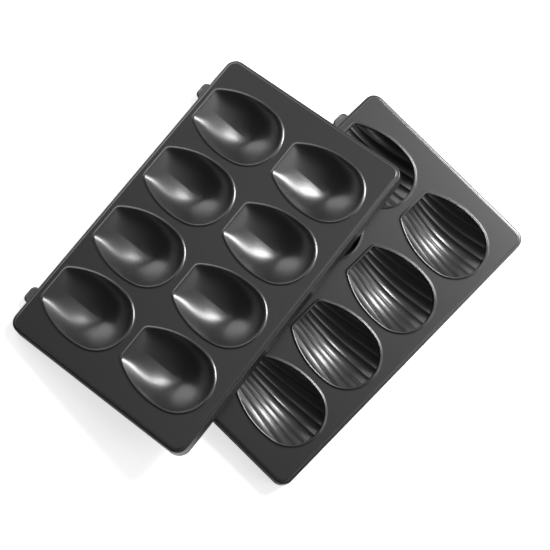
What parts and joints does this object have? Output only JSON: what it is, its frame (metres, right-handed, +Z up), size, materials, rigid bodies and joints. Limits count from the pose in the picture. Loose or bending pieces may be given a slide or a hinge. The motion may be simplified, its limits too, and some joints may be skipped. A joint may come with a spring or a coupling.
{
  "type": "shell cake baking plates",
  "caption": "Pair of interchangeable non-stick baking plates with shell-shaped hollows, one smooth and one ribbed, the smooth one leaning on the ribbed one.",
  "frame": {"origin": "on the table, at the centre of the outer box of both plates at rest", "axes": "+Z up from the table; +X and +Y are the picture's right and far directions"},
  "size_m": [0.365, 0.3102, 0.043],
  "materials": {
    "coated_aluminium": "satin non-stick coating"
  },
  "bodies": {
    "ribbed": {"ribbed_plate": "coated_aluminium"},
    "smooth": {"smooth_plate": "coated_aluminium"}
  },
  "joints": [
    {"name": "smooth_lift", "type": "slide", "parent": "ribbed", "child": "smooth", "axis": [0, 0, 1], "range_m": [0, 0.1]}
  ]
}
